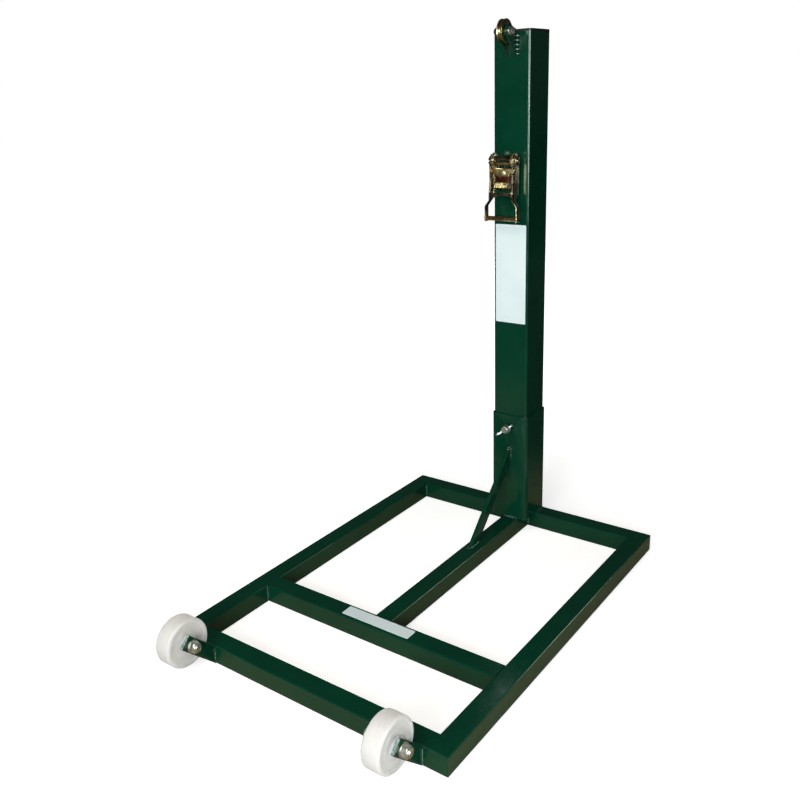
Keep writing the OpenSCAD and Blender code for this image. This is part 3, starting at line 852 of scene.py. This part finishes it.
bolt_head = hexagon("head", (ear_out + m8_washer, pulley_y, pulley_z), m8_flats, m8_head)
bolt_thread = [(-a, r) for a, r in thread(m8_radius, ear_out + 0.2, ear_out + 9.6, 1.25)]
bolt_shank = turned("shank", [(ear_out + 2, 0), (ear_out + 2, m8_radius), (-ear_out, m8_radius), *bolt_thread,
                              (-ear_out - 10, 3), (-ear_out - 10, 0)], pulley_at, steps=36)
place(join("pulley_bolt_steel", [bolt_head, bolt_shank]), "post", "zinc", zinc, "pulley_bolt")
washers = []
for side in (-1, 1):
    washer_at = (side * (ear_out + m8_washer / 2), pulley_y, pulley_z)
    washers.append(turned("washer", washer_profile(m8_washer / 2, m8_hole, 8, 0.3), washer_at, steps=48))
place(join("pulley_washers_steel", washers), "post", "zinc", zinc, "pulley_washers")
nut_at = (-ear_out - m8_washer - m8_nut, pulley_y, pulley_z)
nut = hexagon("nut", nut_at, m8_flats, m8_nut)
collar = turned("collar", [(0.3, 4.3), (0.3, 5.7), (-1, 5.5), (-1.5, 4.9), (-1.3, 4.3)], nut_at, steps=48)
place(join("pulley_nut_steel", [nut, collar]), "post", "zinc", zinc, "pulley_nut")


# Ratchet tensioner: a 35 mm strap ratchet of pressed, yellow-passivated steel. Its frame is bolted
# through a welded lug at its tail, and its spool stands above. The handle hangs down over it.

ratchet_x = -3
spool_y, spool_z = -63, 824
tail_up = -62.6
tail_z = spool_z + tail_up
lug_half, lug_round, lug_back = 18.4, 6.5, spool_y - post_face
frame_in, frame_thick = 18.5, 2
frame_out = frame_in + frame_thick
tail_hole = ((ratchet_x, spool_y, tail_z), m8_hole)
spool_hole = ((ratchet_x, spool_y, spool_z), 10.05)
lock_window = (-9.3, -6.2, -46, -13)


def side_view(x, points):
    """Points of a side view, (distance in front of the spool's axis, height over it), at one X."""
    return [(ratchet_x + x, spool_y - out, spool_z + up) for out, up in points]


lug_outline = ([(lug_back, tail_up - lug_round), (0, tail_up - lug_round)]
               + arc((0, tail_up), lug_round, -90, 90, 8)[1:] + [(lug_back, tail_up + lug_round)])
lug = plate("ratchet_lug_block", side_view(-lug_half, lug_outline), (2 * lug_half, 0, 0), 0.8, 3, [tail_hole])
place(lug, "post", "green_enamel", green_enamel, "ratchet_lug")

post_runs = []
for side in (-1, 1):
    x = side * (ear_out + 0.8)
    post_runs.append(weld_run((x, post_face - 1, 1014), (x, post_face - 1, 1054), 6, 8))
    post_runs.append(crosswise(ratchet_x - 17, ratchet_x + 17, post_face - 0.6,
                               tail_z + side * (lug_round + 0.6), 2.4))
place(join("post_weld_runs", post_runs), "post", "green_enamel", weld_enamel, "post_weld_beads")


def add_across(x_half, out_low, out_high, up_low, up_high):
    """Adds a block across the ratchet, over a range in front of the spool's axis and one in height."""
    add_block((ratchet_x - x_half, spool_y - out_high, spool_z + up_low),
              (ratchet_x + x_half, spool_y - out_low, spool_z + up_high))


def side_plates(outline, inside, thickness, holes, window):
    """The two pressed sides of the frame or the handle, with a window for a sliding pawl."""
    sides = []
    for x in (-inside - thickness, inside):
        piece = plate("side", side_view(x, outline), (thickness, 0, 0), 0.4, 2, holes)
        add_across(50, *window)
        combine(piece, bpy.context.object, "DIFFERENCE")
        smooth(piece)
        sides.append(piece)
    return sides


def block(name, x_half, *ranges, edge=0.5):
    """A folded or flat strip across the ratchet, between two side plates."""
    add_across(x_half, *ranges)
    piece = settle(name)
    bevel(piece, edge, 3)
    smooth(piece)
    return piece


frame_outline = (arc((0, 0), 13, 180, 0, 16) + [(5, -12), (5, -50), (6, -56)]
                 + arc((0, tail_up), 9.5, 40, -180, 14) + [(-13, -54)])
frame_parts = side_plates(frame_outline, frame_in, frame_thick, [tail_hole, spool_hole], lock_window)
frame_parts.append(block("web", frame_in + 1, -13, -11, -54, -22))
frame_parts.append(block("shelf", frame_in + 1, -13, -3, -54, -52))
place(join("ratchet_frame_pressing", frame_parts), "post", "yellow_zinc", yellow_zinc, "ratchet_frame")

tail_dome = [(-a, r) for a, r in arc((0.6, 4), 2.2, 90, 0, 5)]
tail_head = turned("head", [(0, 0), (0, 6.2), *tail_dome, (-3, 0)],
                   (ratchet_x - frame_out, spool_y, tail_z), steps=48)
tail_long = 2 * frame_out + 3.4
tail_shank = turned("shank", [(0, 0), (0, m8_radius), (tail_long - 0.6, m8_radius), (tail_long, 3.4),
                              (tail_long, 0)], (ratchet_x - frame_out - 0.1, spool_y, tail_z), steps=36)
place(join("ratchet_bolt_steel", [tail_head, tail_shank]), "post", "zinc", zinc, "ratchet_bolt")
tail_nut = hexagon("ratchet_nut_steel", (ratchet_x + frame_out, spool_y, tail_z), 12, 3)
place(tail_nut, "post", "zinc", zinc, "ratchet_nut")


# Spool: two half-round bars with a slot between them for the strap, passing through two toothed
# wheels, and held endways by split pins.

spool_radius, spool_end, slot_half = 10, 30.6, 1.5
pin_in, pin_hole = spool_end - 2, 1.3
tooth_count = 12
gear_in, gear_thick = 20.9, 3
olive_zinc = passivated("olive_zinc", (0.2, 0.1, 0.06), (0.62, 0.56, 0.36), (0.3, 0.16, 0.11), (0.2, 0.36))
spool_at = (ratchet_x, spool_y, spool_z)
bar_side = [(spool_end - 1, spool_radius), (spool_end, spool_radius - 1), (spool_end, 0)]
halves = []
for side in (-1, 1):
    bar = turned("half", mirrored(bar_side) + bar_side, spool_at, steps=56)
    bpy.ops.object.mode_set(mode="EDIT")
    saw((0, spool_y, spool_z + side * slot_half), (0, 0, -side), fill=True)
    bpy.ops.object.mode_set(mode="OBJECT")
    bevel(bar, 0.6, 3, 50)
    for end in (-1, 1):
        drill(bar, (ratchet_x + end * pin_in, spool_y, spool_z), 2, pin_hole, 4 * spool_radius)
    smooth(bar, 25, level=True)
    halves.append(bar)
place(join("spool_bars", halves), "spool", "yellow_zinc", olive_zinc, "spool_halves")

teeth = []
for i in range(tooth_count):
    for part, radius in ((0, 14.8), (0.28, 16), (0.97, 13.4)):
        angle = math.radians((i + part) * 360 / tooth_count)
        teeth.append((-radius * math.cos(angle), radius * math.sin(angle)))
gears = [plate("gear", side_view(x, teeth), (gear_thick, 0, 0), 0.3, 2, [(spool_at, 10.02)])
         for x in (-gear_in - gear_thick, gear_in)]
place(join("ratchet_wheels_steel", gears), "spool", "yellow_zinc", yellow_zinc, "ratchet_wheels")

pins = []
pin_profile = [(-12.5, 0), (-12.5, 0.9), (-12, 1.2), (9.5, 1.2), (10.5, 0)]
for end in (-1, 1):
    pin_at = Vector((ratchet_x + end * pin_in, spool_y, spool_z))
    pins.append(turned("pin", pin_profile, pin_at, along=2, steps=20))
    bpy.ops.object.select_all(action="DESELECT")
    bpy.ops.mesh.primitive_torus_add(location=(pin_at + Vector((0, 0, 11))) * mm,
                                     rotation=(math.pi / 2, 0, 0), major_segments=24, minor_segments=10,
                                     major_radius=1.4 * mm, minor_radius=0.6 * mm)
    eye = settle("eye")
    smooth(eye)
    pins.append(eye)
place(join("spool_split_pins", pins), "spool", "zinc", zinc, "spool_pins")


# Ratchet handle: two pressed side plates joined by a shelf and a strip, running down into arms that
# flare out to a riveted grip bar. It swings out on the spool's axis to wind the strap.

handle_in, handle_thick = 24.6, 2
handle_out = handle_in + handle_thick
handle_front, handle_back = 15.5, -12.5
shelf_up, arm_up, bend_up = -53, -75, -87
grip_up, grip_out, grip_radius = -111, 11, 4.5
flare, arm_deep = 36, 13
arm_tip = grip_up - 6.5
lap = 0.06
drive_window = (5.2, 8.8, -47, -14)
handle_outline = (arc((0, 0), 12.5, 180, 0, 16)
                  + [(12, -34), (handle_front, shelf_up - 12), (handle_front, arm_up), (2, arm_up),
                     (handle_back, shelf_up - 12)])
handle_parts = side_plates(handle_outline, handle_in, handle_thick, [spool_hole], drive_window)
handle_parts.append(block("shelf", handle_in + 1, 6, 14, shelf_up, shelf_up + 2))
handle_parts.append(block("strip", handle_in + 1, 13.5, handle_front, -65.5, -60.5))
for side in (-1, 1):
    inner_line = [(handle_in + lap, arm_up + 1), (handle_in + lap, arm_up), (flare - 2, bend_up),
                  (flare - 2, arm_tip)]
    outer_line = [(flare, arm_tip), (flare, bend_up), (handle_out - lap, arm_up),
                  (handle_out - lap, arm_up + 1)]
    outline = [(ratchet_x + side * x, spool_y - handle_front + arm_deep, spool_z + up)
               for x, up in inner_line + outer_line]
    handle_parts.append(plate("arm", outline, (0, -arm_deep, 0), 0.6, 3))
place(join("ratchet_handle_pressing", handle_parts), "ratchet_handle", "yellow_zinc", olive_zinc,
      "ratchet_handle")

grip_half = ([(0, grip_radius), (flare - 2, grip_radius), (flare - 2, 3.4), (flare, 3.4), (flare, 5)]
             + arc((flare, 3.2), 1.8, 90, 0, 4) + [(flare + 1.8, 0)])
grip = turned("grip_bar_steel", mirrored(grip_half[1:]) + grip_half,
              (ratchet_x, spool_y - grip_out, spool_z + grip_up), steps=40)
brown_zinc = passivated("brown_zinc", (0.26, 0.1, 0.06), (0.8, 0.6, 0.3), (0.42, 0.18, 0.11), (0.2, 0.36))
place(grip, "ratchet_handle", "yellow_zinc", brown_zinc, "grip_bar")


# Pawls: flat steel slides that drop into the toothed wheels. The drive pawl rides in the handle
# and has a lip to pull with two fingers, the lock pawl rides in the frame. Coil springs push both up.

pawl_low, pawl_top, pawl_travel = -41, -15.6, 4
slide_back, slide_front, tongue_half = 5.5, 8.5, 15
dome_out, dome_up = 8.4, -23.5
dome_size = Vector((7.5, 1.7, 6.5))
painted_shade_top, painted_highlight_bottom = spool_z - 31, spool_z - 24
slide = block("slide", tongue_half, slide_back, slide_front, pawl_low, pawl_top, edge=0.7)
combine(slide, block("ears", handle_out, slide_back, slide_front, pawl_top - 8, pawl_top, edge=0.7), "UNION")
bpy.ops.object.select_all(action="DESELECT")
bpy.ops.mesh.primitive_uv_sphere_add(segments=48, ring_count=24, radius=1, scale=dome_size * mm,
                                     location=Vector((ratchet_x, spool_y - dome_out, spool_z + dome_up)) * mm)
combine(slide, settle("dome"), "UNION")
smooth(slide)
lip = block("lip", tongue_half, 8, 13.5, pawl_low, pawl_low + 2, edge=0.8)
# The drive pawl's colour holds painted light: the bright straw above a ragged line is a painted highlight,
# and the dark red-brown below it is painted shade.
pawl_zinc = passivated("pawl_zinc", (0.5, 0.3, 0.1), (0.95, 0.82, 0.4), (0.8, 0.6, 0.3), (0.3, 0.46))
tree, shade, straw = base_colour(pawl_zinc)
where = add_node(tree, "TexCoord").outputs["Object"]
height = add_node(tree, "SeparateXYZ", where).outputs["Z"]
ragged = spread(tree, texture(tree, 110, detail=4), -3 * mm, 3 * mm)
level = add_node(tree, "Math", height, ragged, operation="ADD").outputs[0]
painted_highlight_share = spread(tree, level, 0, 1, painted_shade_top * mm, painted_highlight_bottom * mm)
feed(shade, Base_Color=mix(tree, painted_highlight_share, (0.22, 0.065, 0.04, 1), straw))
place(join("drive_pawl_slide", [slide, lip]), "drive_pawl", "yellow_zinc", pawl_zinc, "drive_pawl")
lock_low, lock_top = -40, -15.2
lock = block("lock_pawl_slide", gear_in + gear_thick, -9, -6.5, lock_low, lock_top, edge=0.6)
place(lock, "lock_pawl", "yellow_zinc", yellow_zinc, "lock_pawl")


def coil(name, x, out, low, high, radius, turns, wire=0.4):
    """A compression spring standing between two heights: a wire ring screwed upwards."""
    foot = Vector((ratchet_x + x, spool_y - out, spool_z + low + wire)) * mm
    bpy.ops.object.select_all(action="DESELECT")
    bpy.ops.mesh.primitive_circle_add(vertices=10, radius=wire * mm, rotation=(math.pi / 2, 0, 0),
                                      location=foot + Vector((radius - wire, 0, 0)) * mm)
    spring = settle(name)
    bpy.context.scene.cursor.location = foot
    bpy.ops.object.origin_set(type="ORIGIN_CURSOR")
    modify(spring, "SCREW", axis="Z", angle=2 * math.pi, screw_offset=(high - low - 2 * wire) * mm / turns,
           iterations=turns, steps=24, render_steps=24, use_merge_vertices=True)
    bpy.ops.object.transform_apply(location=True, rotation=True, scale=True)
    bpy.ops.object.mode_set(mode="EDIT")
    close_up()
    smooth(spring, 60)
    return spring


def seat_spring(spring, joint, foot, head, *placing):
    """The spring is placed and gets a mesh of its own; the joint, foot and head are not used."""
    place(spring, *placing)
    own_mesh(spring)


drive_foot = shelf_up + 2
drive_coils = [coil("coil", x, 7, drive_foot, pawl_low, radius=3, turns=5) for x in (-9, 9)]
seat_spring(join("drive_spring_coils", drive_coils), "drive_pawl_slide", drive_foot, pawl_low,
            "ratchet_handle", "zinc", zinc, "drive_springs")
lock_foot = -52
seat_spring(coil("lock_spring_coil", 0, -7.75, lock_foot, lock_low, radius=2.6, turns=6), "lock_pawl_slide",
            lock_foot, lock_low, "post", "zinc", zinc, "lock_spring")


# Wing screw: a cast zinc wing head on an M10 stud, which goes through a nut welded on the sleeve
# and bears on the post.

wing_y = sleeve_front - 9.5
wing_turn = math.radians(38)
wing_thick = 4
stud_tip, stud_long = sleeve_front + 3.2, 21.2
weld_nut = turned("clamp_nut_steel", [(0, 5.05), (0, 9.4), (0.8, 10), (7.2, 10), (8, 9.2), (8, 5.6),
                                      (7.4, 5.05)], (0, sleeve_front - 8, screw_z), along=1)
combine(weld_nut, add_bar((0, sleeve_front - 4, screw_z), 1, 17 / math.sqrt(3), 20, sides=6), "INTERSECT")
smooth(weld_nut, 25)
place(weld_nut, "base", "green_enamel", green_enamel, "clamp_nut")

stud_thread = [(-a, r) for a, r in thread(5, 0.8, stud_long - 0.5, 1.5)]
stud = turned("clamp_stud", [(0, 0), (0, 3.8), *stud_thread, (-stud_long, 4), (-stud_long, 0)],
              (0, stud_tip, screw_z), along=1, steps=40)
place(stud, "clamp_screw", "zinc", zinc, "clamp_screw")

hub_end = [(-11.5 - a, 6.7 + r) for a, r in arc((0, 0), 1.5, 90, 0, 4)]
hub = turned("hub", [(0, 5.1), (0, 9.3), (-0.4, 9.6), (-3, 9.4), (-11.5, 8.2), *hub_end,
                     (-13, 0), (-8.6, 0), (-8.6, 5.1)], (0, wing_y, screw_z), along=1, steps=56)
wings = [hub]
across = Vector((math.cos(wing_turn), 0, math.sin(wing_turn)))
through = Vector((-math.sin(wing_turn), 0, math.cos(wing_turn))) * wing_thick
wing_outline = [(2, 1.5), (8, 1.2), (14, 5.5), *arc((18, 13), 7, -60, 150, 12), (8, 12), (2, 12.4)]
for side in (-1, 1):
    points = [Vector((0, wing_y - ahead, screw_z)) + across * side * out - through / 2
              for out, ahead in wing_outline]
    wings.append(slab("wing", points, through))
wing_head = join("clamp_wing_casting", wings)
modify(wing_head, "REMESH", mode="VOXEL", voxel_size=0.35 * mm)
modify(wing_head, "SMOOTH", factor=0.5, iterations=7)
smooth(wing_head, 80)


def cast(name, dark, light):
    """Die-cast zinc: soft grey with a rough, slightly pitted skin."""
    material, tree, shade = new_material(name, Metallic=1)
    feed(shade, Base_Color=tint(tree, texture(tree, 180, detail=5), dark, light),
         Roughness=spread(tree, texture(tree, 420, detail=3), 0.36, 0.56),
         Normal=relief(tree, texture(tree, 900, detail=3), 0.05))
    return material


cast_zinc = cast("cast_zinc", (0.5, 0.51, 0.5), (0.78, 0.78, 0.76))
place(wing_head, "clamp_wing", "zinc", cast_zinc, "clamp_wing")


# At the end nothing is left selected.

bpy.ops.object.select_all(action="DESELECT")
